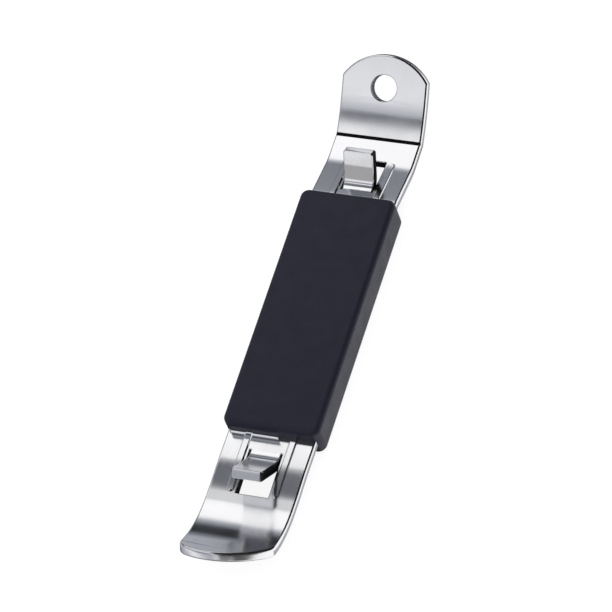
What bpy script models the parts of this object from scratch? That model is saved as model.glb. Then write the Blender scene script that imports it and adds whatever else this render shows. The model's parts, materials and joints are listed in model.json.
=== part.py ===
"""A two-ended lever opener: one stamped, bent steel strip with a grip sleeve around its middle.

The strip is drawn as a flat blank, x across and s along, with s = 0 at the middle of the grip.
The blank is cut across at each bend, thickened, and folded along the two side profiles.
Frame: origin at the centre of the grip's underside, +Y towards the end with the hanging hole,
+X across the strip, +Z up from the surface that the opener lies on.
"""

from math import asin, cos, pi, radians, sin, tan

import bmesh
import bpy

MM = 0.001

# Grip sleeve
GRIP_LENGTH = 63.3 * MM
GRIP_WIDTH = 23.2 * MM
GRIP_HEIGHT = 8.6 * MM
GRIP_EDGE_RADIUS = 1.3 * MM
GRIP_CORNER_RADIUS = 2.0 * MM  # of its four upright corner edges
FIT_GAP = 0.3 * MM  # clear space left all round between the sleeve and the strip

# Steel strip
STRIP_WIDTH = 21.0 * MM
STRIP_THICKNESS = 2.3 * MM
ARC_STEP = radians(5)  # largest turn between two cuts across a bend

# Side profile from the grip to the hole end: down, level, then up into the end plate
DIP_START_INSIDE = 0.6 * MM  # how far inside the grip the first bend begins
DIP_ANGLE = radians(14)
DIP_START_RADIUS = 10.0 * MM
DIP_RUN = 9.1 * MM
DIP_END_RADIUS = 14.0 * MM
SHELF_LENGTH = 5.1 * MM
CREASE_ANGLE = radians(26.5)
CREASE_RADIUS = 0.3 * MM
PLATE_CURVE_ANGLE = radians(12.5)
PLATE_CURVE_RADIUS = 43.0 * MM
PLATE_LENGTH = 19.7 * MM  # from the crease to the crown of its rounded end
PLATE_END_RADIUS = 12.6 * MM
PLATE_CORNER_RADIUS = 0.9 * MM
HOLE_RADIUS = 3.1 * MM
HOLE_FROM_CREASE = 11.9 * MM

# Side profile from the grip to the lip end: level, then up into the prying lip
LIP_LEVEL_LENGTH = 17.9 * MM
LIP_CURVE_ANGLE = radians(35)
LIP_CURVE_RADIUS = 21.5 * MM
LIP_END_LENGTH = 5.1 * MM
LIP_FRONT_RADIUS = 18.5 * MM
LIP_CROWN_ASIDE = -3.5 * MM  # the front reaches furthest a little to one side
LIP_CORNER_RADIUS = 3.0 * MM

# Tongues, each lanced from its own window and bent up
WINDOW_WIDTH = 7.7 * MM
SLIT_SIDE = 0.2 * MM  # cut between a tongue's side and its window
SLIT_TIP = 0.3 * MM  # cut between a tongue's tip and its window, on the flat blank
PLATE_TONGUE_ROOT = 3.2 * MM  # roots and ends are measured from the end of the grip
PLATE_WINDOW_END = 13.3 * MM
PLATE_TONGUE_ANGLE = radians(74)
PLATE_TONGUE_RADIUS = 2.6 * MM
LIP_TONGUE_ROOT = 4.4 * MM
LIP_WINDOW_END = 15.5 * MM
LIP_TONGUE_ANGLE = radians(44)
LIP_TONGUE_RADIUS = 4.5 * MM
LIP_TONGUE_DRAW = 1.1  # this tongue is drawn out longer than the cut that frees it

# Stiffening ribs, pressed up along both sides of the windows and on under the grip
RIB_SPACING = 10.8 * MM  # between the centre lines of the two ribs
RIB_WIDTH = 1.85 * MM
RIB_CROWN_WIDTH = 0.85 * MM
RIB_HEIGHT = 0.35 * MM
RIB_SINK = 0.5 * MM  # how far a rib's solid reaches into the strip

# How finely the curved outlines are drawn
PLATE_END_STEPS = 20
LIP_FRONT_STEPS = 9
HOLE_STEPS = 40
RIB_END_STEPS = 8
GRIP_EDGE_STEPS = 4
CORNER_STEP = radians(12)
SHARPEST_SMOOTH = radians(30)  # edges that turn further than this are shaded as real edges
SMALLEST_BEVELLED = radians(60)  # of the grip's edges, those that turn further are rounded

# Materials: base colour, roughness, metallic
POLISHED_STEEL = ((0.72, 0.73, 0.75), 0.12, 1.0)
BLACK_GRIP = ((0.022, 0.024, 0.03), 0.5, 0.0)

# What follows from the sizes above
HALF_GRIP = GRIP_LENGTH / 2
STRIP_TOP = GRIP_HEIGHT / 2 + STRIP_THICKNESS / 2
TONGUE_WIDTH = WINDOW_WIDTH - 2 * SLIT_SIDE
LIP_TONGUE_AT = HALF_GRIP + LIP_TONGUE_ROOT


def arc(radius, angle):
    """One bend of a side profile: its length along the strip's upper face, and its turn."""
    return (radius * abs(angle), angle)


PLATE_PROFILE = [
    (HALF_GRIP - DIP_START_INSIDE, 0.0),
    arc(DIP_START_RADIUS, -DIP_ANGLE),
    (DIP_RUN, 0.0),
    arc(DIP_END_RADIUS, DIP_ANGLE),
    (SHELF_LENGTH, 0.0),
    arc(CREASE_RADIUS, CREASE_ANGLE),
    arc(PLATE_CURVE_RADIUS, PLATE_CURVE_ANGLE),
]
LIP_PROFILE = [
    (HALF_GRIP + LIP_LEVEL_LENGTH, 0.0),
    arc(LIP_CURVE_RADIUS, LIP_CURVE_ANGLE),
]
CREASE_AT = sum(length for length, turn in PLATE_PROFILE[:5])
PLATE_CROWN_AT = CREASE_AT + PLATE_LENGTH
LIP_FRONT_AT = sum(length for length, turn in LIP_PROFILE) + LIP_END_LENGTH


def profile_to(profile, reach):
    """The first part of a side profile, up to a distance along it."""
    kept = []
    for length, turn in profile:
        part = min(length, reach)
        kept.append((part, turn * part / length))
        reach -= part
        if reach <= 0:
            break
    return kept


def tongue_profile(profile, root, radius, angle):
    """The strip's profile up to a tongue's root, then the tongue's own bend."""
    return profile_to(profile, HALF_GRIP + root) + [arc(radius, angle)]


PLATE_TONGUE = tongue_profile(
    PLATE_PROFILE, PLATE_TONGUE_ROOT, PLATE_TONGUE_RADIUS, PLATE_TONGUE_ANGLE
)
LIP_TONGUE = tongue_profile(LIP_PROFILE, LIP_TONGUE_ROOT, LIP_TONGUE_RADIUS, LIP_TONGUE_ANGLE)


def travel(profile, distance):
    """Forward place, rise and slope after a distance along a profile, straight past its end."""
    forward = rise = slope = 0.0
    for length, turn in profile + [(max(distance, 1.0), 0.0)]:
        part = min(length, distance)
        if turn:
            radius = length / turn
            turned = slope + turn * part / length
            forward += radius * (sin(turned) - sin(slope))
            rise -= radius * (cos(turned) - cos(slope))
            slope = turned
        else:
            forward += part * cos(slope)
            rise += part * sin(slope)
        distance -= part
        if distance <= 0:
            break
    return forward, rise, slope


def bend_cuts(profile):
    """Distances along a profile at which a bend starts, ends or needs a cut between."""
    cuts = []
    at = 0.0
    for length, turn in profile:
        if turn:
            steps = max(1, round(abs(turn) / ARC_STEP))
            cuts += [at + length * i / steps for i in range(steps + 1)]
        at += length
    return cuts


def on_tongue(x, s):
    """Whether a point of the flat blank is on one of the two tongues, not on the strip."""
    root = PLATE_TONGUE_ROOT if s > 0 else LIP_TONGUE_ROOT
    end = PLATE_WINDOW_END if s > 0 else LIP_WINDOW_END
    inside = HALF_GRIP + root < abs(s) < HALF_GRIP + end - SLIT_TIP / 2
    return inside and abs(x) < TONGUE_WIDTH / 2 + SLIT_SIDE / 2


def fold(mesh):
    """Moves a flat solid, x across, y along and z above the upper face, onto the bent strip."""
    for vert in mesh.verts:
        x, s, height = vert.co
        side = 1 if s > 0 else -1
        distance = abs(s)
        if not on_tongue(x, s):
            profile = PLATE_PROFILE if s > 0 else LIP_PROFILE
        elif s > 0:
            profile = PLATE_TONGUE
        else:
            profile = LIP_TONGUE
            distance = LIP_TONGUE_AT + (distance - LIP_TONGUE_AT) * LIP_TONGUE_DRAW
        forward, rise, slope = travel(profile, distance)
        vert.co.y = side * (forward - height * sin(slope))
        vert.co.z = STRIP_TOP + rise + height * cos(slope)


def rounded(corners):
    """An outline with each corner (x, y, radius) turned into an arc that touches both sides."""
    points = []
    for i, (x, y, radius) in enumerate(corners):
        if not radius:
            points.append((x, y))
            continue
        before = corners[i - 1]
        after = corners[(i + 1) % len(corners)]
        ax, ay = before[0] - x, before[1] - y
        bx, by = after[0] - x, after[1] - y
        a_length, b_length = (ax * ax + ay * ay) ** 0.5, (bx * bx + by * by) ** 0.5
        ax, ay, bx, by = ax / a_length, ay / a_length, bx / b_length, by / b_length
        turn = pi - 2 * asin(((ax - bx) ** 2 + (ay - by) ** 2) ** 0.5 / 2)
        reach = radius * tan(turn / 2)
        middle = ((ax + bx) ** 2 + (ay + by) ** 2) ** 0.5
        centre = (radius**2 + reach**2) ** 0.5 / middle
        cx, cy = x + (ax + bx) * centre, y + (ay + by) * centre
        sx, sy = x + ax * reach - cx, y + ay * reach - cy
        way = 1 if ay * bx - ax * by > 0 else -1
        steps = max(2, round(turn / CORNER_STEP))
        for step in range(steps + 1):
            c, n = cos(way * turn * step / steps), sin(way * turn * step / steps)
            points.append((cx + sx * c - sy * n, cy + sx * n + sy * c))
    return points


def blank_outline():
    """The strip's flat outline: straight sides, a rounded plate end and a bowed lip front."""
    half = STRIP_WIDTH / 2
    corners = []
    centre = PLATE_CROWN_AT - PLATE_END_RADIUS
    widest = asin(half / PLATE_END_RADIUS)
    for i in range(PLATE_END_STEPS + 1):
        angle = widest * (1 - 2 * i / PLATE_END_STEPS)
        radius = PLATE_CORNER_RADIUS if i in (0, PLATE_END_STEPS) else 0
        corners.append(
            (PLATE_END_RADIUS * sin(angle), centre + PLATE_END_RADIUS * cos(angle), radius)
        )
    centre = LIP_FRONT_RADIUS - LIP_FRONT_AT
    first = -asin((half + LIP_CROWN_ASIDE) / LIP_FRONT_RADIUS)
    last = asin((half - LIP_CROWN_ASIDE) / LIP_FRONT_RADIUS)
    for i in range(LIP_FRONT_STEPS + 1):
        angle = first + (last - first) * i / LIP_FRONT_STEPS
        x = LIP_CROWN_ASIDE + LIP_FRONT_RADIUS * sin(angle)
        radius = LIP_CORNER_RADIUS if i in (0, LIP_FRONT_STEPS) else 0
        corners.append((x, centre - LIP_FRONT_RADIUS * cos(angle), radius))
    return rounded(corners)


def slit_outline(side, root, end):
    """The U-shaped cut that frees a tongue from the strip and opens its window."""
    start = side * (HALF_GRIP + root)
    far = side * (HALF_GRIP + end)
    tip = far - side * SLIT_TIP
    outer = WINDOW_WIDTH / 2
    inner = TONGUE_WIDTH / 2
    return [
        (-outer, start),
        (-outer, far),
        (outer, far),
        (outer, start),
        (inner, start),
        (inner, tip),
        (-inner, tip),
        (-inner, start),
    ]


def hole_outline():
    centre = CREASE_AT + HOLE_FROM_CREASE
    angles = [2 * pi * i / HOLE_STEPS for i in range(HOLE_STEPS)]
    return [(HOLE_RADIUS * cos(angle), centre + HOLE_RADIUS * sin(angle)) for angle in angles]


def rib_outline(x):
    """A long slot shape, round at both ends, level with the far edges of the windows."""
    radius = RIB_WIDTH / 2
    plate_end = HALF_GRIP + PLATE_WINDOW_END - radius
    lip_end = -(HALF_GRIP + LIP_WINDOW_END - radius)
    angles = [pi * i / RIB_END_STEPS for i in range(RIB_END_STEPS + 1)]
    points = [(x + radius * cos(angle), plate_end + radius * sin(angle)) for angle in angles]
    return points + [(x - radius * cos(angle), lip_end - radius * sin(angle)) for angle in angles]


def flat_sheet(outlines):
    """A flat, triangulated sheet from one outline and the outlines of its holes."""
    mesh = bmesh.new()
    for points in outlines:
        verts = [mesh.verts.new((x, y, 0)) for x, y in points]
        for first, second in zip(verts, verts[1:] + verts[:1]):
            mesh.edges.new((first, second))
    bmesh.ops.triangle_fill(mesh, use_beauty=True, edges=mesh.edges[:], normal=(0, 0, 1))
    return mesh


def cut_at_bends(mesh):
    """Cuts a flat sheet across wherever the strip or a tongue bends, then into triangles."""
    plate_cuts = bend_cuts(PLATE_PROFILE) + bend_cuts(PLATE_TONGUE)
    lip_cuts = bend_cuts(LIP_PROFILE)
    for cut in bend_cuts(LIP_TONGUE):
        lip_cuts.append(LIP_TONGUE_AT + (cut - LIP_TONGUE_AT) / LIP_TONGUE_DRAW)
    for at in sorted(set(plate_cuts + [-cut for cut in lip_cuts])):
        bmesh.ops.bisect_plane(
            mesh,
            geom=mesh.verts[:] + mesh.edges[:] + mesh.faces[:],
            dist=1e-7,
            plane_co=(0, at, 0),
            plane_no=(0, 1, 0),
        )
    bmesh.ops.triangulate(mesh, faces=mesh.faces[:])


def thicken(mesh, depth):
    """Turns a sheet into a solid that reaches a depth below it."""
    made = bmesh.ops.extrude_face_region(mesh, geom=mesh.faces[:])
    lowered = [item for item in made["geom"] if isinstance(item, bmesh.types.BMVert)]
    bmesh.ops.translate(mesh, verts=lowered, vec=(0, 0, -depth))


def finish(mesh, name):
    """Puts a mesh in the scene as an object, shaded smooth but for its real edges."""
    bmesh.ops.recalc_face_normals(mesh, faces=mesh.faces[:])
    data = bpy.data.meshes.new(name)
    mesh.to_mesh(data)
    mesh.free()
    data.shade_smooth()
    data.set_sharp_from_angle(angle=SHARPEST_SMOOTH)
    made = bpy.data.objects.new(name, data)
    bpy.context.scene.collection.objects.link(made)
    return made


def helper(made):
    """Marks an object as a cutter or joiner that isn't a part itself."""
    made.hide_render = True
    made.display_type = "WIRE"


def boolean(target, other, operation):
    modifier = target.modifiers.new(other.name, "BOOLEAN")
    modifier.operation = operation
    modifier.object = other
    modifier.solver = "EXACT"
    helper(other)


def material(name, colour, roughness, metallic):
    made = bpy.data.materials.new(name)
    made.use_nodes = True
    shader = made.node_tree.nodes["Principled BSDF"]
    shader.inputs["Base Color"].default_value = (*colour, 1)
    shader.inputs["Roughness"].default_value = roughness
    shader.inputs["Metallic"].default_value = metallic
    return made


def rib(x, name):
    """One stiffening rib: a slot shape with sloping sides, folded with the strip."""
    mesh = flat_sheet([rib_outline(x)])
    thicken(mesh, RIB_SINK)
    bmesh.ops.recalc_face_normals(mesh, faces=mesh.faces[:])
    top = [face for face in mesh.faces if face.normal.z > 0.5]
    bmesh.ops.inset_region(
        mesh,
        faces=top,
        thickness=(RIB_WIDTH - RIB_CROWN_WIDTH) / 2,
        depth=RIB_HEIGHT,
        use_even_offset=True,
    )
    cut_at_bends(mesh)
    fold(mesh)
    return finish(mesh, name)


def steel_body():
    """The whole strip with its tongues, windows, hanging hole and ribs: one piece of steel."""
    plate_slit = slit_outline(1, PLATE_TONGUE_ROOT, PLATE_WINDOW_END)
    lip_slit = slit_outline(-1, LIP_TONGUE_ROOT, LIP_WINDOW_END)
    mesh = flat_sheet([blank_outline(), plate_slit, lip_slit, hole_outline()])
    cut_at_bends(mesh)
    thicken(mesh, STRIP_THICKNESS)
    fold(mesh)
    body = finish(mesh, "steel_body")
    boolean(body, rib(RIB_SPACING / 2, "rib_right"), "UNION")
    boolean(body, rib(-RIB_SPACING / 2, "rib_left"), "UNION")
    body.data.materials.append(material("polished_steel", *POLISHED_STEEL))
    return body


def box(name, size, centre):
    mesh = bmesh.new()
    bmesh.ops.create_cube(mesh, size=1)
    bmesh.ops.scale(mesh, verts=mesh.verts[:], vec=size)
    bmesh.ops.translate(mesh, verts=mesh.verts[:], vec=centre)
    return finish(mesh, name)


def grip_sleeve():
    """The moulded sleeve: a rounded block with a passage that fits the strip and its ribs."""
    middle = GRIP_HEIGHT / 2
    across, along = GRIP_WIDTH / 2, GRIP_LENGTH / 2
    corners = [(across, along), (-across, along), (-across, -along), (across, -along)]
    mesh = flat_sheet([rounded([(x, y, GRIP_CORNER_RADIUS) for x, y in corners])])
    bmesh.ops.dissolve_limit(mesh, angle_limit=radians(1), verts=mesh.verts, edges=mesh.edges)
    bmesh.ops.translate(mesh, verts=mesh.verts[:], vec=(0, 0, GRIP_HEIGHT))
    thicken(mesh, GRIP_HEIGHT)
    sleeve = finish(mesh, "grip_sleeve")
    edges = sleeve.modifiers.new("rounded_edges", "BEVEL")
    edges.width = GRIP_EDGE_RADIUS
    edges.segments = GRIP_EDGE_STEPS
    edges.limit_method = "ANGLE"
    edges.angle_limit = SMALLEST_BEVELLED
    through = GRIP_LENGTH + 2 * GRIP_EDGE_RADIUS
    passage = (STRIP_WIDTH + 2 * FIT_GAP, through, STRIP_THICKNESS + 2 * FIT_GAP)
    boolean(sleeve, box("strip_passage", passage, (0, 0, middle)), "DIFFERENCE")
    groove_height = RIB_HEIGHT + STRIP_THICKNESS / 2 + FIT_GAP
    groove = (RIB_WIDTH + 2 * FIT_GAP, through, groove_height)
    for side, name in ((1, "rib_groove_right"), (-1, "rib_groove_left")):
        at = (side * RIB_SPACING / 2, 0, middle + groove_height / 2)
        boolean(sleeve, box(name, groove, at), "DIFFERENCE")
    sleeve.data.materials.append(material("black_grip", *BLACK_GRIP))
    return sleeve


for old in list(bpy.data.objects):
    bpy.data.objects.remove(old)
steel_body()
grip_sleeve()
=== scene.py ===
import json
import math

import bmesh
import bpy
from mathutils import Matrix, Vector

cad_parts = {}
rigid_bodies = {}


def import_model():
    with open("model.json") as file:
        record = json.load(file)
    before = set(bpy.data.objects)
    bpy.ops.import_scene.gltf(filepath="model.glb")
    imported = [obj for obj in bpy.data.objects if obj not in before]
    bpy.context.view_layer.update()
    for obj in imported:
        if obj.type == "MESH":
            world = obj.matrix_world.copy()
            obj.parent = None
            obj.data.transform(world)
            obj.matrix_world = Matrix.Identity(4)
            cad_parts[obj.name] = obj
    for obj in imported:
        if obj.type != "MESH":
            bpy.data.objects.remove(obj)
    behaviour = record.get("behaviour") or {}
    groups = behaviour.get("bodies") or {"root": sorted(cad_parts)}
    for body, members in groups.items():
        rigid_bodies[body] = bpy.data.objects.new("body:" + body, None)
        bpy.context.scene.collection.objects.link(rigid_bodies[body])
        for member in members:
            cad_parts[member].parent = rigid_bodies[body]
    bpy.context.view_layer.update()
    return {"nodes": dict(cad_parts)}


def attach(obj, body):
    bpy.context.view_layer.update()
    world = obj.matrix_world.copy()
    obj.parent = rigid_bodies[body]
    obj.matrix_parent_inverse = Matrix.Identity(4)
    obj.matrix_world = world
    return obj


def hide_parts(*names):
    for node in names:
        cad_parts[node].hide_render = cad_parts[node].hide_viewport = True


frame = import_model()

mm = 0.001
quarterTurn = math.pi / 2
hair = 1e-6  # metres: closer than this counts as the same place
near = 1e-5  # metres: this close to a cut counts as on it
level, upright = 0.99, 0.1  # how far up or down such a face's normal points: at least, at most
smoothBelow = math.radians(32)
print("1. frame loaded:", ", ".join(sorted(frame["nodes"])))


# small helpers, used by every piece

def deselectAll():
    for thing in bpy.context.view_layer.objects:
        thing.select_set(False)


def useOnly(piece):
    deselectAll()
    piece.select_set(True)
    bpy.context.view_layer.objects.active = piece


def editMode(piece, kind="EDGE"):
    useOnly(piece)
    bpy.ops.object.mode_set(mode="EDIT")
    bpy.ops.mesh.select_mode(type=kind)
    bpy.ops.mesh.select_all(action="DESELECT")


def objectMode():
    bpy.ops.object.mode_set(mode="OBJECT")


def pick(piece, kind, test):
    # selects the vertices, edges or faces that pass the test, in edit mode
    editMode(piece, kind)
    shape = bmesh.from_edit_mesh(piece.data)
    items = {"VERT": shape.verts, "EDGE": shape.edges, "FACE": shape.faces}[kind]
    count = 0
    for item in items:
        if test(item):
            item.select_set(True)
            count += 1
    bmesh.update_edit_mesh(piece.data)
    return count


def applyAll(piece):
    useOnly(piece)
    for modifier in list(piece.modifiers):
        bpy.ops.object.modifier_apply(modifier=modifier.name)


def cutWith(piece, cutter, operation="DIFFERENCE", finish=None):
    # the new faces take the cutter's finish if it has one
    if finish:
        cutter.data.materials.append(finish)
    modifier = piece.modifiers.new(cutter.name, "BOOLEAN")
    modifier.operation = operation
    modifier.object = cutter
    modifier.solver = "EXACT"
    modifier.material_mode = "TRANSFER" if finish else "INDEX"
    applyAll(piece)
    bpy.data.objects.remove(cutter)


def shadeEvenly(piece, weight):
    # smooth over the roundings, with the broad faces kept even
    useOnly(piece)
    bpy.ops.object.shade_smooth_by_angle(angle=smoothBelow)
    even = piece.modifiers.new("evenShading", "WEIGHTED_NORMAL")
    even.mode = "FACE_AREA"
    even.keep_sharp = True
    even.weight = weight
    applyAll(piece)


def addBlock(name, size, centre):
    deselectAll()
    bpy.ops.mesh.primitive_cube_add(size=1, location=centre, scale=size)
    block = bpy.context.object
    block.name = name
    bpy.ops.object.transform_apply(location=True, rotation=True, scale=True)
    return block


def addRod(name, radius, length, centre, sides=96, turn=(0, 0, 0)):
    deselectAll()
    bpy.ops.mesh.primitive_cylinder_add(
        vertices=sides, radius=radius, depth=length, location=centre, rotation=turn
    )
    rod = bpy.context.object
    rod.name = name
    bpy.ops.object.transform_apply(location=True, rotation=True, scale=True)
    return rod


camera = {
    "distance": 1.0,
    "lens": 259.7,  # lens and sensor in millimetres
    "sensor": 36,
    "farthest": 10,
    "azimuth": -53.59,  # degrees, from +X round towards +Y
    "elevation": 55.06,
    "roll": -23.09,
    "middle": (0.0, -2.05 * mm, 4.3 * mm),
    "aside": -1.176 * mm,
    "above": 4.634 * mm,
}


def makeCamera():
    azimuth, elevation = math.radians(camera["azimuth"]), math.radians(camera["elevation"])
    turn = Matrix.Rotation(azimuth + quarterTurn, 3, "Z")
    turn = turn @ Matrix.Rotation(quarterTurn - elevation, 3, "X")
    turn = turn @ Matrix.Rotation(math.radians(camera["roll"]), 3, "Z")
    right, up, back = turn.transposed()
    aim = Vector(camera["middle"]) + right * camera["aside"] + up * camera["above"]
    data = bpy.data.cameras.new("camera")
    data.lens = camera["lens"]
    data.sensor_width = camera["sensor"]
    data.clip_end = camera["farthest"]
    viewer = bpy.data.objects.new("camera", data)
    viewer.matrix_world = Matrix.Translation(aim + back * camera["distance"]) @ turn.to_4x4()
    bpy.context.scene.collection.objects.link(viewer)
    bpy.context.scene.camera = viewer


makeCamera()
print("2. camera placed")


def newMaterial(name):
    made = bpy.data.materials.new(name)
    made.use_nodes = True
    return made, made.node_tree.nodes, made.node_tree.links


def noiseOn(nodes, links, scale, stretch, detail=4):
    # noise in the piece's own space, stretched along an axis by a mapping
    place = nodes.new("ShaderNodeTexCoord")
    mapping = nodes.new("ShaderNodeMapping")
    mapping.inputs["Scale"].default_value = stretch
    noise = nodes.new("ShaderNodeTexNoise")
    noise.inputs["Scale"].default_value = scale
    noise.inputs["Detail"].default_value = detail
    links.new(place.outputs["Object"], mapping.inputs["Vector"])
    links.new(mapping.outputs["Vector"], noise.inputs["Vector"])
    return noise.outputs["Fac"]


def rangeOf(nodes, links, value, low, high, fromLow=0.3, fromHigh=0.7):
    # carries a value, noise unless told otherwise, over to another range
    spread = nodes.new("ShaderNodeMapRange")
    spread.inputs["From Min"].default_value = fromLow
    spread.inputs["From Max"].default_value = fromHigh
    spread.inputs["To Min"].default_value = low
    spread.inputs["To Max"].default_value = high
    links.new(value, spread.inputs["Value"])
    return spread.outputs["Result"]


def addBump(nodes, links, height, strength, depth, shader):
    bump = nodes.new("ShaderNodeBump")
    bump.inputs["Strength"].default_value = strength
    bump.inputs["Distance"].default_value = depth
    links.new(height, bump.inputs["Height"])
    links.new(bump.outputs["Normal"], shader.inputs["Normal"])


finishes = {
    "steelTint": (0.86, 0.86, 0.875, 1),
    "hairlines": (5200, 90, 5200),  # close together across the strip, long along it
    "hairlineDepth": 0.02 * mm,
    "hairlineStrength": 0.02,
    "hairlineRoughness": (-0.015, 0.02),
    "smudgeScale": 160.0,
    "smudgeRoughness": (0.13, 0.17),
    "tearing": (3000, 3000, 300),
    "tearingDepth": 0.05 * mm,
    "tearingStrength": 0.3,
    "tearingBetween": (0.35, 0.7),
    "tearingRoughness": 0.15,  # the most that it adds
    "tearingBlue": 1.1,
    "black": (0.0095, 0.0105, 0.028, 1),
    "blackGloss": 0.36,
    "blackRoughness": (0.46, 0.56),
    "patchScale": 220.0,
    "grainScale": 2600.0,
    "grainDepth": 0.06 * mm,
    "grainStrength": 0.5,
}


def polishedSteel():
    # hairlines along the strip, and broad smudges
    made, nodes, links = newMaterial("polishedSteel")
    shader = nodes["Principled BSDF"]
    shader.inputs["Base Color"].default_value = finishes["steelTint"]
    shader.inputs["Metallic"].default_value = 1.0
    hairlines = noiseOn(nodes, links, 1.0, finishes["hairlines"], detail=3)
    smudges = noiseOn(nodes, links, finishes["smudgeScale"], (1, 0.6, 1))
    fine = rangeOf(nodes, links, hairlines, *finishes["hairlineRoughness"])
    broad = rangeOf(nodes, links, smudges, *finishes["smudgeRoughness"])
    total = nodes.new("ShaderNodeMath")
    total.operation = "ADD"
    links.new(fine, total.inputs[0])
    links.new(broad, total.inputs[1])
    links.new(total.outputs["Value"], shader.inputs["Roughness"])
    addBump(nodes, links, hairlines, finishes["hairlineStrength"], finishes["hairlineDepth"], shader)
    return made


def roughSteel(name, dark, light, roughness):
    # sheared, unpolished steel with fine torn grain; given near-black tones it is painted shade
    made, nodes, links = newMaterial(name)
    shader = nodes["Principled BSDF"]
    shader.inputs["Metallic"].default_value = 1.0
    tearing = noiseOn(nodes, links, 1.0, finishes["tearing"], detail=3)
    tone = nodes.new("ShaderNodeValToRGB")
    ends = zip(tone.color_ramp.elements, finishes["tearingBetween"], (dark, light))
    for stop, position, shade in ends:
        stop.position = position
        stop.color = (shade, shade, shade * finishes["tearingBlue"], 1)
    links.new(tearing, tone.inputs["Fac"])
    links.new(tone.outputs["Color"], shader.inputs["Base Color"])
    roughest = roughness + finishes["tearingRoughness"]
    links.new(rangeOf(nodes, links, tearing, roughness, roughest), shader.inputs["Roughness"])
    addBump(nodes, links, tearing, finishes["tearingStrength"], finishes["tearingDepth"], shader)
    return made


def satinBlack():
    # fine moulded grain, with patches a little glossier than others
    made, nodes, links = newMaterial("satinBlack")
    shader = nodes["Principled BSDF"]
    shader.inputs["Base Color"].default_value = finishes["black"]
    shader.inputs["Specular IOR Level"].default_value = finishes["blackGloss"]
    grain = noiseOn(nodes, links, finishes["grainScale"], (1, 1, 1), detail=3)
    patches = noiseOn(nodes, links, finishes["patchScale"], (1, 1, 1))
    satin = rangeOf(nodes, links, patches, *finishes["blackRoughness"])
    links.new(satin, shader.inputs["Roughness"])
    addBump(nodes, links, grain, finishes["grainStrength"], finishes["grainDepth"], shader)
    return made


brightSteel = polishedSteel()
# painted shade: near-black steel for the slit walls round the tongues and the crease furrow,
# standing in for the shade there
paintedShadeSteel = roughSteel("paintedShadeSteel", dark=0.01, light=0.03, roughness=0.4)
tornSteel = roughSteel("tornSteel", dark=0.34, light=0.5, roughness=0.45)
blackRubber = satinBlack()
print("3. materials made")


# the steel strip: a flat blank is pierced, embossed, rounded and then bent
strip = {
    "width": 21.0 * mm,
    "thickness": 2.3 * mm,
    "topHeight": 5.45 * mm,  # of the upper face inside the grip
    "plateLength": 19.7 * mm,  # from the crease to the crown of the plate
    "plateEndRadius": 12.6 * mm,
    "plateCornerRadius": 0.9 * mm,
    "lipEndLength": 5.1 * mm,
    "lipFrontRadius": 18.5 * mm,
    "lipCrownAside": -3.5 * mm,
    "lipCornerRadius": 3.0 * mm,
    "holeRadius": 3.1 * mm,
    "holeFromCrease": 11.9 * mm,
    "rimRounding": 0.45 * mm,
    "burnished": 0.36,  # share of the thickness, from the top
    "windowRounding": 0.25 * mm,
    "holeRounding": 0.2 * mm,
    "creaseWidth": 0.9 * mm,
    "creaseDepth": 0.3 * mm,
    "creaseMargin": 0.8,  # extra cuts lie this many crease widths to each side
    "tornFrom": 6 * mm,  # the lip's own edge, up to here from its front, isn't torn
    "rimSteps": 7,
    "windowSteps": 3,
    "holeSteps": 3,
    "arcStep": 2.5,  # degrees between points of the outline
    "bendStep": 2.0,  # degrees between cuts across a bend
    "fewestCuts": 6,
    "linePointsApart": 0.2 * mm,
}
halfGrip = 31.65 * mm
# each stretch of the side profile, outwards from the middle of the grip: length, turn in degrees
plateBends = [
    (halfGrip - 0.6 * mm, 0),
    (10.0 * mm * math.radians(14), -14),  # dips as it leaves the grip
    (9.1 * mm, 0),
    (14.0 * mm * math.radians(14), 14),
    (5.1 * mm, 0),  # level shelf up to the crease
    (0.3 * mm * math.radians(26.5), 26.5),
    (43.0 * mm * math.radians(12.5), 12.5),  # the foot of the plate
]
stretchesToCrease = 5
# beside its window the lip's side keeps a slight wave, as lanced and pressed steel does
lipBends = [
    (halfGrip - 0.5 * mm, 0),
    (1.0 * mm, 1.5),
    (6.25 * mm, 0),
    (3.0 * mm, -4.0),
    (3.0 * mm, 0),
    (3.0 * mm, 4.0),
    (2.15 * mm, 0),
    (21.5 * mm * math.radians(35), 33.5),  # the lip itself
]
tongues = {
    "windowWidth": 7.7 * mm,
    "sideSlit": 0.2 * mm,
    "tipSlit": 0.3 * mm,
    "tipCorner": 0.55 * mm,
    "cornerSteps": 5,
    "plateRoot": 3.2 * mm,  # roots and ends are measured from the end of the grip
    "plateEnd": 13.3 * mm,
    "plateAngle": 74,
    "plateRadius": 2.6 * mm,
    "lipRoot": 4.4 * mm,
    "lipEnd": 15.5 * mm,
    "lipAngle": 44,
    "lipRadius": 4.5 * mm,
    "lipDraw": 1.1,  # this tongue is drawn out longer than its window
}
ribs = {
    "spacing": 10.8 * mm,
    "width": 1.85 * mm,
    "height": 0.35 * mm,
    "sink": 0.5 * mm,
    "slope": ((0.03, 0.1), (0.04, 0.3), (0.05, 0.35), (0.06, 0.2), (0.04, 0.05)),
    "halfWidthAs": 0.62,  # what half the width counts as in the slope's steps inwards
    "endSteps": 16,
    "grooveDepth": 0.25 * mm,
    "grooveShare": 0.9,  # of the rib's width
}
creaseAt = sum(length for length, turn in plateBends[:stretchesToCrease])
plateCrownAt = creaseAt + strip["plateLength"]
lipFrontAt = sum(length for length, turn in lipBends) + strip["lipEndLength"]


def startWall(name, x, y, deep):
    # one upright edge, kept from a block, from which a wall is drawn round an outline
    wall = addBlock(name, (deep, deep, deep), (x - deep / 2, y - deep / 2, -deep / 2))
    pick(wall, "VERT", lambda vert: vert.co.x < x - deep / 2 or vert.co.y < y - deep / 2)
    bpy.ops.mesh.delete(type="VERT")
    bpy.ops.mesh.select_all(action="SELECT")
    return wall


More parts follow.
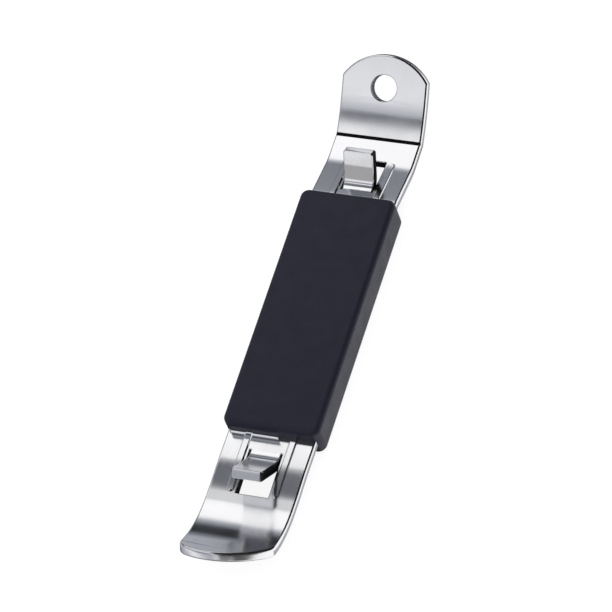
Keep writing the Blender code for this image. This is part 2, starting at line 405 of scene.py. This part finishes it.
def capWall(wall, deep):
    # closes the wall's loop, then fills it above and below
    bpy.ops.mesh.select_all(action="SELECT")
    bpy.ops.mesh.remove_doubles(threshold=0.01 * mm)
    for height in (0, -deep):
        pick(wall, "EDGE", lambda edge: all(abs(v.co.z - height) < hair for v in edge.verts))
        bpy.ops.mesh.edge_face_add()
    bpy.ops.mesh.select_all(action="SELECT")
    bpy.ops.mesh.normals_make_consistent(inside=False)


def outlineArc(centreX, centreY, angle):
    # carries the open end of the wall round an arc, anticlockwise seen from above
    steps = max(4, round(math.degrees(angle) / strip["arcStep"]))
    bpy.ops.mesh.spin(steps=steps, angle=-angle, center=(centreX, centreY, 0), axis=(0, 0, 1))


def makeBlank():
    # the wall is spun and extruded round the outline, then both faces are filled
    half = strip["width"] / 2
    deep = strip["thickness"]
    plateRadius, plateCorner = strip["plateEndRadius"], strip["plateCornerRadius"]
    lipRadius, lipCorner = strip["lipFrontRadius"], strip["lipCornerRadius"]
    plateCentre = plateCrownAt - plateRadius
    plateTurn = math.asin((half - plateCorner) / (plateRadius - plateCorner))
    plateStart = plateCentre + (plateRadius - plateCorner) * math.cos(plateTurn)
    lipCentre = lipRadius - lipFrontAt
    aside, reach = strip["lipCrownAside"], lipRadius - lipCorner
    leftTurn = math.asin((half - lipCorner + aside) / reach)
    rightTurn = math.asin((half - lipCorner - aside) / reach)
    leftStart = lipCentre - reach * math.cos(leftTurn)
    rightStart = lipCentre - reach * math.cos(rightTurn)
    blank = startWall("stampedStrip", half, plateStart, deep)
    outlineArc(half - plateCorner, plateStart, quarterTurn - plateTurn)
    outlineArc(0, plateCentre, 2 * plateTurn)
    outlineArc(plateCorner - half, plateStart, quarterTurn - plateTurn)
    bpy.ops.mesh.extrude_region_move(
        TRANSFORM_OT_translate={"value": (0, leftStart - plateStart, 0)}
    )
    outlineArc(lipCorner - half, leftStart, quarterTurn - leftTurn)
    outlineArc(aside, lipCentre, leftTurn + rightTurn)
    outlineArc(half - lipCorner, rightStart, quarterTurn - rightTurn)
    bpy.ops.mesh.extrude_region_move(
        TRANSFORM_OT_translate={"value": (0, plateStart - rightStart, 0)}
    )
    capWall(blank, deep)
    objectMode()
    return blank


def pierce(blank):
    # the hanging hole, and a U-shaped slit round each tongue
    through = strip["thickness"] * 3
    cutWith(blank, addRod("holePunch", strip["holeRadius"], through,
                          (0, creaseAt + strip["holeFromCrease"], 0), sides=120))
    inner = tongues["windowWidth"] / 2 - tongues["sideSlit"]
    for side, root, end in ((1, "plateRoot", "plateEnd"), (-1, "lipRoot", "lipEnd")):
        start = halfGrip + tongues[root]
        far = halfGrip + tongues[end]
        middle = side * (start + far) / 2
        for hand in (-1, 1):
            slitSize = (tongues["sideSlit"], far - start, through)
            slitAt = (hand * (inner + tongues["sideSlit"] / 2), middle, 0)
            # the slit's walls take the near-black steel: painted shade
            cutWith(blank, addBlock("sideSlit", slitSize, slitAt), finish=paintedShadeSteel)
        tipSize = (tongues["windowWidth"], tongues["tipSlit"], through)
        tipAt = (0, side * (far - tongues["tipSlit"] / 2), 0)
        cutWith(blank, addBlock("tipSlit", tipSize, tipAt), finish=paintedShadeSteel)

    def atTongueCorner(edge):
        a, b = edge.verts
        fromTop = abs(a.co.z - b.co.z) > strip["thickness"] / 2
        tips = [halfGrip + tongues[end] - tongues["tipSlit"] for end in ("plateEnd", "lipEnd")]
        atTip = any(abs(abs(a.co.y) - tip) < near for tip in tips)
        return fromTop and atTip and abs(abs(a.co.x) - inner) < near

    def isTip(face):
        # the end face of a tongue is polished, unlike the cut sides around it, which keep the
        # near-black painted shade
        middle = face.calc_center_median()
        tip = halfGrip + tongues["plateEnd" if middle.y > 0 else "lipEnd"] - tongues["tipSlit"]
        return abs(abs(middle.y) - tip) < near and abs(middle.x) < inner

    pick(blank, "FACE", isTip)
    blank.active_material_index = 0
    bpy.ops.object.material_slot_assign()
    pick(blank, "EDGE", atTongueCorner)
    bpy.ops.mesh.bevel(offset=tongues["tipCorner"], segments=tongues["cornerSteps"],
                       affect="EDGES")
    objectMode()


def makeRibTool(name, x, width, height):
    # spun and extruded round a slot outline, like the blank, then capped and swollen by insets
    radius = width / 2
    plateEnd = halfGrip + tongues["plateEnd"] - radius
    lipEnd = -(halfGrip + tongues["lipEnd"] - radius)
    tool = startWall(name, x + radius, plateEnd, ribs["sink"])
    steps = ribs["endSteps"]
    bpy.ops.mesh.spin(steps=steps, angle=-math.pi, center=(x, plateEnd, 0), axis=(0, 0, 1))
    bpy.ops.mesh.extrude_region_move(TRANSFORM_OT_translate={"value": (0, lipEnd - plateEnd, 0)})
    bpy.ops.mesh.spin(steps=steps, angle=-math.pi, center=(x, lipEnd, 0), axis=(0, 0, 1))
    bpy.ops.mesh.extrude_region_move(TRANSFORM_OT_translate={"value": (0, plateEnd - lipEnd, 0)})
    capWall(tool, ribs["sink"])
    pick(tool, "FACE", lambda face: face.normal.z > level)
    for inwards, upwards in ribs["slope"]:
        bpy.ops.mesh.inset(thickness=inwards * width / 2 / ribs["halfWidthAs"],
                           depth=upwards * height)
    objectMode()
    return tool


def emboss(blank):
    # each rib stands proud of the upper face and leaves a shallow groove in the lower one
    for hand in (-1, 1):
        x = hand * ribs["spacing"] / 2
        raised = makeRibTool("rib", x, ribs["width"], ribs["height"])
        cutWith(blank, raised, "UNION")
        grooveWidth = ribs["width"] * ribs["grooveShare"]
        pressed = makeRibTool("ribGroove", x, grooveWidth, ribs["grooveDepth"])
        useOnly(pressed)
        bpy.ops.transform.translate(value=(0, 0, -strip["thickness"]))
        bpy.ops.object.transform_apply(location=True, rotation=True, scale=True)
        cutWith(blank, pressed)


def isRim(edge):
    # an edge between a flat face and an upright cut edge
    steep, flat = sorted(abs(face.normal.z) for face in edge.link_faces)
    return flat > level and steep < upright


def nearHole(place):
    fromHole = math.hypot(place.x, place.y - creaseAt - strip["holeFromCrease"])
    return fromHole < strip["holeRadius"] * 1.1


def rimPlace(edge):
    middle = (edge.verts[0].co + edge.verts[1].co) / 2
    if nearHole(middle):
        return "holeRounding"
    window = "plateEnd" if middle.y > 0 else "lipEnd"
    beside = abs(middle.x) < tongues["windowWidth"] / 2 + near
    if beside and abs(middle.y) < halfGrip + tongues[window] + near:
        return "windowRounding"
    return "rimRounding"


def roundRims(blank):
    for place, steps in (("rimRounding", "rimSteps"), ("windowRounding", "windowSteps"),
                         ("holeRounding", "holeSteps")):
        pick(blank, "EDGE", lambda edge: isRim(edge) and rimPlace(edge) == place)
        bpy.ops.mesh.bevel(offset=strip[place], segments=strip[steps], affect="EDGES",
                           clamp_overlap=False)
        objectMode()


def cutAcross(places):
    # cuts the piece that is in edit mode straight across, at places along it
    for place in places:
        bpy.ops.mesh.select_all(action="SELECT")
        bpy.ops.mesh.bisect(plane_co=(0, place, 0), plane_no=(0, 1, 0), threshold=hair)


def joinPlate(blank):
    # the plate's faces meet along straight lines across it, so that nothing ends in a corner
    throughHole = creaseAt + strip["holeFromCrease"]
    belowHole = throughHole - strip["holeRadius"] * 2
    editMode(blank)
    cutAcross((throughHole, belowHole))
    objectMode()

    def isStray(edge):
        flat = all(abs(face.normal.z) > level for face in edge.link_faces)
        low, high = sorted(vert.co.y for vert in edge.verts)
        across = high - low < hair and min(abs(low - throughHole), abs(low - belowHole)) < hair
        return flat and low > belowHole - hair and not across

    pick(blank, "EDGE", isStray)
    bpy.ops.mesh.dissolve_edges(use_verts=False)
    objectMode()


def markRims(blank):
    # the flat faces keep even shading up to where their rounded rims begin
    def bordersFlat(edge):
        steep, flat = sorted(abs(face.normal.z) for face in edge.link_faces)
        exact = 0.9999
        return flat > exact and upright < steep < exact

    pick(blank, "EDGE", bordersFlat)
    bpy.ops.mesh.mark_sharp()
    objectMode()


def tearEdge(blank):
    # a punched edge is burnished above and torn, so dull and pale, below
    editMode(blank)
    bpy.ops.mesh.select_all(action="SELECT")
    tornBelow = -strip["thickness"] * strip["burnished"]
    bpy.ops.mesh.bisect(plane_co=(0, 0, tornBelow), plane_no=(0, 0, 1), threshold=hair)
    objectMode()
    wall = strip["width"] / 2 - strip["rimRounding"]

    def isTorn(face):
        middle = face.calc_center_median()
        onPlate = middle.y > creaseAt + strip["plateLength"] / 2
        onLip = middle.y < strip["rimRounding"] + strip["tornFrom"] - lipFrontAt
        outside = onPlate or (abs(middle.x) > wall and not onLip)
        below = middle.z < tornBelow and face.normal.z > -0.9
        return below and outside and not nearHole(middle)

    blank.data.materials.append(tornSteel)
    pick(blank, "FACE", isTorn)
    blank.active_material_index = len(blank.data.materials) - 1
    bpy.ops.object.material_slot_assign()
    objectMode()


def scoreCrease(blank):
    # the sharp inner bend below the plate leaves a narrow furrow from edge to edge; its faces take
    # the near-black painted shade, which darkens it
    wide, deep = strip["creaseWidth"], strip["creaseDepth"]
    radius = (wide * wide / 4 + deep * deep) / (2 * deep)
    furrow = addRod("furrow", radius, strip["width"] * 1.2,
                    (0, creaseAt, radius - deep), sides=64, turn=(0, quarterTurn, 0))
    cutWith(blank, furrow, finish=paintedShadeSteel)


def bendCuts(bends):
    # where a bend starts and ends, and the steps between
    places, at = [], 0.0
    for length, turn in bends:
        if turn:
            steps = max(strip["fewestCuts"], round(abs(turn) / strip["bendStep"]))
            places += [at + length * step / steps for step in range(steps + 1)]
        at += length
    return places


def tongueBends(bends, root, radius, angle):
    # the strip's own profile up to the tongue's root, then the tongue's bend
    kept, left = [], halfGrip + root
    for length, turn in bends:
        part = min(length, left)
        kept.append((part, turn * part / length))
        left -= part
        if left <= 0:
            break
    return kept + [(radius * math.radians(angle), angle)]


def sideLine(bends, reach):
    # points (outwards, up) along the upper face from the middle of the grip, then straight on
    points, outwards, up, slope, at = [(0.0, 0.0)], 0.0, 0.0, 0.0, 0.0
    for length, turn in bends + [(reach, 0)]:
        length = min(length, reach - at)
        byLength = math.ceil(length / strip["linePointsApart"])
        byTurn = math.ceil(abs(turn) / strip["bendStep"])
        steps = max(byLength, byTurn, 1)
        for step in range(steps):
            slope += math.radians(turn) / steps / 2
            outwards += length / steps * math.cos(slope)
            up += length / steps * math.sin(slope)
            slope += math.radians(turn) / steps / 2
            points.append((outwards, up))
        at += length
        if reach - at < hair / 1000:
            break
    return points


def makeBendLine(name, plateSide, lipSide):
    # one line along the upper face, from the lip's front to past the plate's crown
    lip = [(-out, up) for out, up in sideLine(lipSide, lipFrontAt)]
    plate = sideLine(plateSide, plateCrownAt)
    points = lip[::-1] + plate[1:]
    data = bpy.data.curves.new(name, "CURVE")
    data.dimensions = "3D"
    data.twist_mode = "Z_UP"
    line = data.splines.new("POLY")
    line.points.add(len(points) - 1)
    for point, (along, up) in zip(line.points, points):
        point.co = (0, along, strip["topHeight"] + up, 1)
        point.tilt = quarterTurn
    made = bpy.data.objects.new(name, data)
    bpy.context.scene.collection.objects.link(made)
    return made


def bendStrip(blank):
    plateTongue = tongueBends(plateBends, tongues["plateRoot"], tongues["plateRadius"],
                              tongues["plateAngle"])
    lipTongue = tongueBends(lipBends, tongues["lipRoot"], tongues["lipRadius"],
                            tongues["lipAngle"])
    inner = tongues["windowWidth"] / 2 - tongues["sideSlit"] / 2
    lipRootAt = -(halfGrip + tongues["lipRoot"])
    plateRootAt = halfGrip + tongues["plateRoot"]
    lipTipAt = -(halfGrip + tongues["lipEnd"] - tongues["tipSlit"] / 2)
    plateTipAt = halfGrip + tongues["plateEnd"] - tongues["tipSlit"] / 2

    def onPlateTongue(vert):
        return plateRootAt + hair < vert.co.y < plateTipAt and abs(vert.co.x) < inner

    def onLipTongue(vert):
        return lipTipAt < vert.co.y < lipRootAt - hair and abs(vert.co.x) < inner

    cuts = bendCuts(plateBends) + bendCuts(plateTongue)
    cuts += [-at for at in bendCuts(lipBends)]
    cuts += [lipRootAt + (-at - lipRootAt) / tongues["lipDraw"] for at in bendCuts(lipTongue)]
    margin = strip["creaseWidth"] * strip["creaseMargin"]
    cuts += [creaseAt - margin, creaseAt + margin]
    editMode(blank)
    cutAcross(sorted(set(round(at, 8) for at in cuts)))
    objectMode()
    groups = {name: blank.vertex_groups.new(name=name)
              for name in ("strip", "plateTongue", "lipTongue")}
    for vert in blank.data.vertices:
        if onPlateTongue(vert):
            groups["plateTongue"].add([vert.index], 1, "REPLACE")
        elif onLipTongue(vert):
            groups["lipTongue"].add([vert.index], 1, "REPLACE")
        else:
            groups["strip"].add([vert.index], 1, "REPLACE")
    pick(blank, "VERT", onLipTongue)
    bpy.ops.transform.resize(value=(1, tongues["lipDraw"], 1), center_override=(0, lipRootAt, 0))
    editMode(blank, "VERT")
    bpy.ops.mesh.select_all(action="SELECT")
    bpy.ops.transform.translate(value=(0, lipFrontAt, 0))  # a bend line starts at the lip's front
    objectMode()
    lines = {
        "strip": makeBendLine("stripLine", plateBends, lipBends),
        "plateTongue": makeBendLine("plateTongueLine", plateTongue, lipBends),
        "lipTongue": makeBendLine("lipTongueLine", plateBends, lipTongue),
    }
    for group, line in lines.items():
        bend = blank.modifiers.new(group, "CURVE")
        bend.object = line
        bend.deform_axis = "POS_Y"
        bend.vertex_group = group
    return lines


def makeStrip():
    blank = makeBlank()
    blank.data.materials.append(brightSteel)
    pierce(blank)
    emboss(blank)
    joinPlate(blank)
    roundRims(blank)
    markRims(blank)
    tearEdge(blank)
    scoreCrease(blank)
    lines = bendStrip(blank)
    applyAll(blank)
    for line in lines.values():
        bpy.data.objects.remove(line)
    blank.vertex_groups.clear()
    editMode(blank, "VERT")
    bpy.ops.mesh.select_all(action="SELECT")
    bpy.ops.mesh.remove_doubles(threshold=0.002 * mm)
    bpy.ops.mesh.dissolve_degenerate(threshold=0.001 * mm)
    objectMode()
    shadeEvenly(blank, 100)
    return blank


steelStrip = makeStrip()
print("4. steel strip made:", len(steelStrip.data.polygons), "faces")


grip = {
    "length": 2 * halfGrip,
    "width": 23.2 * mm,
    "height": 8.6 * mm,
    "cornerRadius": 2.0 * mm,
    "edgeRadius": 1.3 * mm,
    "roundingSteps": 8,
    "snug": 0.03 * mm,  # room left round the strip
    "channelShare": 0.8,  # of a rib's width
}


def makeGrip():
    size = (grip["width"], grip["length"], grip["height"])
    sleeve = addBlock("gripSleeve", size, (0, 0, grip["height"] / 2))
    pick(sleeve, "EDGE", lambda edge: abs(edge.verts[0].co.z - edge.verts[1].co.z) > mm)
    steps = grip["roundingSteps"]
    bpy.ops.mesh.bevel(offset=grip["cornerRadius"], segments=steps, affect="EDGES")
    objectMode()
    pick(sleeve, "EDGE", isRim)
    bpy.ops.mesh.bevel(offset=grip["edgeRadius"], segments=steps, affect="EDGES")
    objectMode()
    through = grip["length"] * 1.2
    passage = (strip["width"] + 2 * grip["snug"], through, strip["thickness"] + 2 * grip["snug"])
    cutWith(sleeve, addBlock("passage", passage, (0, 0, grip["height"] / 2)))
    channel = ribs["width"] / 2 * grip["channelShare"]
    z = strip["topHeight"] + ribs["height"] + grip["snug"] - channel
    for hand in (-1, 1):
        x = hand * ribs["spacing"] / 2
        cutWith(sleeve, addRod("ribChannel", channel, through, (x, 0, z), sides=32,
                               turn=(quarterTurn, 0, 0)))
    shadeEvenly(sleeve, 50)
    sleeve.data.materials.clear()
    sleeve.data.materials.append(blackRubber)
    return sleeve


gripSleeve = makeGrip()
print("5. grip sleeve made:", len(gripSleeve.data.polygons), "faces")


# the studio: a glowing floor, a pale world, and panels and cards seen only in the steel
studio = {
    "floorSize": 6.0,  # metres, as are all sizes here
    "floorLevel": -0.02 * mm,
    "floorTone": 0.22,
    "floorGlow": 0.86,
    "fill": 1.0,
    "height": 0.25,  # of the panels overhead
    "panelEdge": -0.055,  # the light panel ends here, and the dark one begins
    "darkEdge": 0.9,
    "sideEdge": -0.3,
    "black": 0.01,
    "softBlack": 0.05,
    "wall": ((0, 1.2, 0.24), (0.9, 0.3, 0.13)),  # size and centre, as for the cards below
    "low": ((1.2, 0, 0.25), (-0.2, 0.55, 0.125)),
    "front": ((1.0, 0, 0.25), (0.65, -0.6, 0.125)),
    "plateBounce": ((0.022, 0, 0.0034), (0, halfGrip + 0.3 * mm, 0.0071)),
    "lipBounce": ((0.0115, 0, 0.0034), (-0.00425, -halfGrip - 0.3 * mm, 0.0071)),
    "bounceGlow": 0.4,
    "shadeEdges": (-0.3, 0.0108),
    "shadeLevel": 0.4 * mm,
    "coolness": 0.12,
}
# how strongly each panel glows along itself: (place in metres, strength)
glows = {
    # towards the plate: pale, a dark gap, a white band, a long dark gap, then white fading out
    "panel": [
        (-1.6, 0.65), (-0.7, 0.4), (-0.42, 0.4), (-0.3, 0.9), (-0.195, 0.95), (-0.165, 0.8),
        (-0.138, 0.52), (-0.118, 0.2), (-0.1, 0.08), (-0.09, 0.2), (-0.079, 0.95),
        (-0.045, 1.1), (-0.035, 0.3), (0.076, 0.1), (0.083, 0.12), (0.094, 1.15), (0.3, 1.1),
        (0.36, 0.42), (0.45, 0.26), (0.53, 0.1), (0.8, 0.03),
    ],
    "side": [(-0.1, 0.3), (0.25, 0.3)],
    "low": [(0, 0.3), (0.05, 0.2), (0.1, 0.02), (0.25, 0.03)],
    "lipBounce": [
        (0.0054, 0.85), (0.0061, 0.7), (0.0065, 0.08), (0.007, 0.06), (0.0077, 0.35),
        (0.0088, 0.05),
    ],
    "shade": [(-0.3, 0.5), (-0.034, 0.45), (-0.024, 0.2), (-0.012, 0.1), (0.0108, 0.1)],
}


def glowRamp(name, axis="Y"):
    # light whose strength changes along one axis
    made, nodes, links = newMaterial(name + "Glow")
    nodes.remove(nodes["Principled BSDF"])
    place = nodes.new("ShaderNodeTexCoord")
    split = nodes.new("ShaderNodeSeparateXYZ")
    links.new(place.outputs["Object"], split.inputs["Vector"])
    stops = glows[name]
    low, high = stops[0][0], stops[-1][0]
    along = rangeOf(nodes, links, split.outputs[axis], 0, 1, low, high)
    ramp = nodes.new("ShaderNodeValToRGB")
    ramp.color_ramp.elements.remove(ramp.color_ramp.elements[1])
    for i, (at, glow) in enumerate(stops):
        at = (at - low) / (high - low)
        stop = ramp.color_ramp.elements[0] if i == 0 else ramp.color_ramp.elements.new(at)
        stop.position = at
        cool = studio["coolness"] * max(0, 1 - glow)  # the dimmer parts are a little bluer
        stop.color = (glow * (1 - cool), glow * (1 - cool / 2), glow * (1 + cool), 1)
    light = nodes.new("ShaderNodeEmission")
    light.inputs["Strength"].default_value = 1.0
    links.new(along, ramp.inputs["Fac"])
    links.new(ramp.outputs["Color"], light.inputs["Color"])
    links.new(light.outputs["Emission"], nodes["Material Output"].inputs["Surface"])
    return made


def plainFinish(name, tone, glow=0.0):
    made, nodes, links = newMaterial(name)
    shader = nodes["Principled BSDF"]
    shader.inputs["Base Color"].default_value = (tone, tone, tone, 1)
    shader.inputs["Roughness"].default_value = 0.9
    shader.inputs["Specular IOR Level"].default_value = 0.1
    shader.inputs["Emission Color"].default_value = (1, 1, 1, 1)
    shader.inputs["Emission Strength"].default_value = glow
    return made


def addSheet(name, lowX, highX, height, finish):
    # a level sheet as long as the floor, placed by its two long edges
    deselectAll()
    bpy.ops.mesh.primitive_plane_add(size=1)
    sheet = bpy.context.object
    sheet.name = name
    bpy.ops.transform.resize(value=(highX - lowX, studio["floorSize"], 1))
    bpy.ops.transform.translate(value=((lowX + highX) / 2, 0, height))
    bpy.ops.object.transform_apply(location=True, rotation=True, scale=True)
    sheet.data.materials.append(finish)
    return sheet


def addCard(name, place, finish):
    # an upright sheet: one of its three sizes is zero
    size, centre = studio[place]
    deselectAll()
    turn = (0, quarterTurn, 0) if size[0] == 0 else (quarterTurn, 0, 0)
    bpy.ops.mesh.primitive_plane_add(size=1, rotation=turn)
    card = bpy.context.object
    card.name = name
    bpy.ops.object.transform_apply(location=True, rotation=True, scale=True)
    bpy.ops.transform.resize(value=tuple(side or 1 for side in size))
    bpy.ops.transform.translate(value=centre)
    bpy.ops.object.transform_apply(location=True, rotation=True, scale=True)
    card.data.materials.append(finish)
    return card


def onlyReflected(thing):
    # seen in the polished steel, but neither by the camera nor as light on the floor
    thing.visible_camera = False
    thing.visible_diffuse = False
    thing.visible_shadow = False


def makeStudio():
    far = studio["floorSize"] / 2
    high = studio["height"]
    edge = studio["panelEdge"]
    black, softBlack = studio["black"], studio["softBlack"]
    pale = plainFinish("paleFloor", studio["floorTone"], studio["floorGlow"])
    addSheet("floor", -far, far, studio["floorLevel"], pale)
    for thing in (
        addSheet("softPanel", -far, edge, high, glowRamp("panel")),
        addSheet("sidePanel", -far, studio["sideEdge"], high - mm, glowRamp("side")),
        addSheet("darkCard", edge, studio["darkEdge"], high, plainFinish("cardBlack", black)),
        addCard("darkWall", "wall", plainFinish("wallBlack", black)),
        addCard("lowCard", "low", glowRamp("low", "Z")),
        addCard("frontCard", "front", plainFinish("frontBlack", softBlack)),
        # little cards against the ends of the sleeve, and a grey sheet on the floor
        addCard("plateBounce", "plateBounce", plainFinish("greyBounce", 0, studio["bounceGlow"])),
        addCard("lipBounce", "lipBounce", glowRamp("lipBounce", "Z")),
        addSheet("floorShade", *studio["shadeEdges"], studio["shadeLevel"], glowRamp("shade", "X")),
    ):
        onlyReflected(thing)
    world = bpy.data.worlds.new("softFill")
    bpy.context.scene.world = world
    world.use_nodes = True
    world.node_tree.nodes["Background"].inputs["Color"].default_value = (1, 1, 1, 1)
    world.node_tree.nodes["Background"].inputs["Strength"].default_value = studio["fill"]
    bpy.context.scene.view_settings.view_transform = "Standard"


makeStudio()
print("6. studio lit")

for piece, node, finish in (
    (steelStrip, "steel_body", "polished_steel"),
    (gripSleeve, "grip_sleeve", "black_grip"),
):
    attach(piece, "root")
    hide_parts(node)
